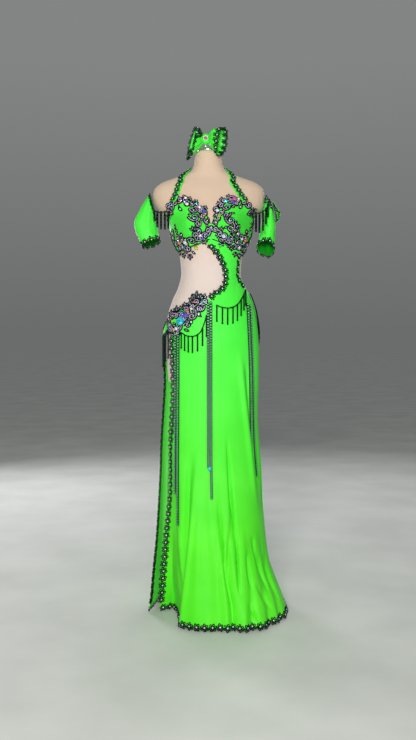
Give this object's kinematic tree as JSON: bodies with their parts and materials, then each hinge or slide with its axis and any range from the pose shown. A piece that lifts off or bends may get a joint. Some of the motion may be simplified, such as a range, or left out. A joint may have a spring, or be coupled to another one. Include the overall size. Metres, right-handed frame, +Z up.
{
  "type": "belly dance costume on a dress form",
  "caption": "Bright green halter dance dress with a waist cut-out, side slit, flower lace, bead fringes, loose sleeves and a hair bow, worn by a limbless dress form.",
  "frame": {"origin": "centre of the underside of the stand's base, on the floor", "axes": "+Z up the dress form, the front faces -Y, the wearer's right side is at -X"},
  "size_m": [0.524, 0.4701, 1.631],
  "materials": {
    "lycra_green": "satin stretch knit",
    "lace_dark": "matt guipure lace with small crystals",
    "applique_crystal": "cut crystals on dark lace",
    "bead_strands": "glossy bugle beads and crystals",
    "form_cover": "smooth stretched cover",
    "cap_metal": "polished",
    "stand_metal": "satin"
  },
  "bodies": {
    "root": {"skirt_front": "lycra_green", "skirt_back": "lycra_green", "cup_right": "lycra_green", "cup_left": "lycra_green", "back_band": "lycra_green", "waist_panel": "lycra_green", "hip_panel_right": "lycra_green", "hip_panel_left": "lycra_green", "halter_strap": "lycra_green", "sleeve_right": "lycra_green", "sleeve_left": "lycra_green", "sleeve_ruffle_left": "lycra_green", "bow_loop_right": "lycra_green", "bow_loop_left": "lycra_green", "bow_knot": "lycra_green", "lace_hem_front": "lace_dark", "lace_hem_back": "lace_dark", "lace_slit_front": "lace_dark", "lace_slit_back": "lace_dark", "lace_skirt_top_back": "lace_dark", "lace_waist_right": "lace_dark", "lace_waist_left": "lace_dark", "lace_halter": "lace_dark", "lace_sleeve_right": "lace_dark", "lace_sleeve_left": "lace_dark", "lace_bow_right": "lace_dark", "lace_bow_left": "lace_dark", "applique_hip_right": "applique_crystal", "applique_cup_right": "applique_crystal", "applique_cup_left": "applique_crystal", "applique_bust_right": "applique_crystal", "applique_bust_left": "applique_crystal", "applique_waist_left": "applique_crystal", "fringe_waist": "bead_strands", "fringe_hip_right": "bead_strands", "fringe_slit": "bead_strands", "fringe_hip_left": "bead_strands", "strand_centre": "bead_strands", "strand_right": "bead_strands", "strand_left": "bead_strands", "garland_right": "bead_strands", "garland_left": "bead_strands", "dress_form": "form_cover", "neck_cap": "cap_metal", "bow_clip": "cap_metal", "stand_pole": "stand_metal", "stand_base": "stand_metal"}
  },
  "joints": []
}
